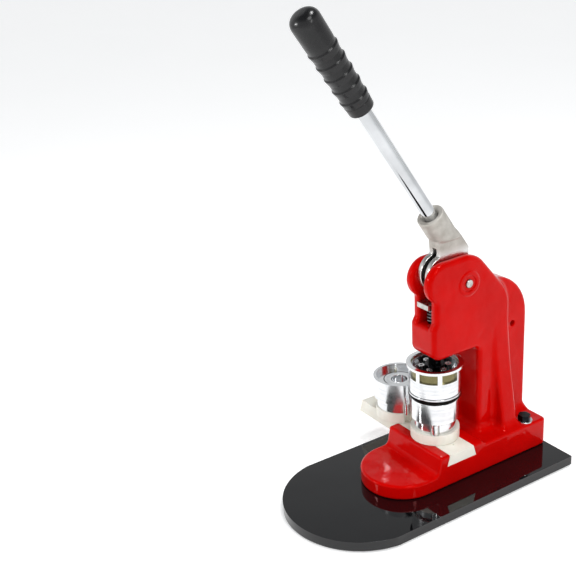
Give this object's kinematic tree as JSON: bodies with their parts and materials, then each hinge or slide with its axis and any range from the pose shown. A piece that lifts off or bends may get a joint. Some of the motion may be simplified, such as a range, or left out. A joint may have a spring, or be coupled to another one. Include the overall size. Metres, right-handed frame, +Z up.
{
  "type": "button badge maker",
  "caption": "Bench press for button badges: cast frame on a round-fronted board, hand lever with a cam, sprung ram with an upper die, and a dovetail tray that carries two lower dies",
  "frame": {"origin": "Middle of the board in plan, on the surface that the press stands on", "axes": "+X to the operator's right, +Y away from the operator, +Z up"},
  "size_m": [0.2, 0.324, 0.5426],
  "materials": {
    "board": "black gloss laminate",
    "mat": "ribbed sheet rubber",
    "enamel": "gloss red enamel on cast iron",
    "black_steel": "black oxide",
    "steel": "bright steel",
    "zinc": "zinc plated",
    "tray_plastic": "off-white moulded nylon",
    "die_alloy": "turned aluminium",
    "polished_steel": "polished",
    "brass": "dull olive brass",
    "spring_steel": "drawn wire",
    "cast_alloy": "grey cast alloy, fine grain",
    "chrome": "chrome plate",
    "grip_rubber": "moulded, semi gloss"
  },
  "bodies": {
    "root": {"base_board": "board", "rubber_mat": "mat", "frame_casting": "enamel", "rear_bolts": "black_steel", "rear_washers": "zinc", "board_nuts": "zinc", "front_screw": "zinc", "tray_stop_screw": "steel", "pivot_pin": "steel", "ram_spring": "spring_steel"},
    "tray": {"tray_slide": "tray_plastic", "die_a_base": "die_alloy", "die_a_core": "die_alloy", "die_a_spring": "spring_steel", "die_a_screw": "steel", "die_b_base": "die_alloy", "die_b_core": "die_alloy", "die_b_spring": "spring_steel", "die_b_screw": "steel"},
    "sleeve_a": {"die_a_sleeve": "die_alloy"},
    "sleeve_b": {"die_b_sleeve": "die_alloy"},
    "ram": {"ram_shaft": "black_steel", "ram_shoe": "polished_steel", "die_holder": "black_steel", "holder_screws": "zinc", "upper_die_body": "die_alloy", "upper_die_flange": "polished_steel", "upper_die_liner": "brass", "upper_die_punch": "die_alloy"},
    "lever": {"lever_casting": "cast_alloy", "pivot_spacer": "steel", "lever_rod": "chrome", "rod_set_screw": "black_steel", "lever_grip": "grip_rubber"}
  },
  "joints": [
    {"name": "lever_pivot", "type": "hinge", "parent": "root", "child": "lever", "pos_m": [0, 0.062, 0.2335], "axis": [1, 0, 0], "range_deg": [0, 40], "stiffness_Nm_per_rad": 0.8, "springref_deg": -91.67},
    {"name": "ram_slide", "type": "slide", "parent": "root", "child": "ram", "axis": [0, 0, -1], "range_m": [0, 0.01205], "deforming": ["ram_spring"]},
    {"name": "tray_travel", "type": "slide", "parent": "root", "child": "tray", "axis": [1, 0, 0], "range_m": [0, 0.0635]},
    {"name": "sleeve_a_slide", "type": "slide", "parent": "tray", "child": "sleeve_a", "axis": [0, 0, -1], "range_m": [0, 0.01005], "deforming": ["die_a_spring"]},
    {"name": "sleeve_b_slide", "type": "slide", "parent": "tray", "child": "sleeve_b", "axis": [0, 0, -1], "range_m": [0, 0.01005], "deforming": ["die_b_spring"]}
  ],
  "couplings": [
    {"joint": "ram_slide", "follows": "lever_pivot", "m_per_rad": 0.017189},
    {"joint": "sleeve_a_slide", "follows": "lever_pivot", "m_per_rad": 0.014324},
    {"joint": "sleeve_b_slide", "follows": "lever_pivot", "m_per_rad": 0.014324}
  ]
}
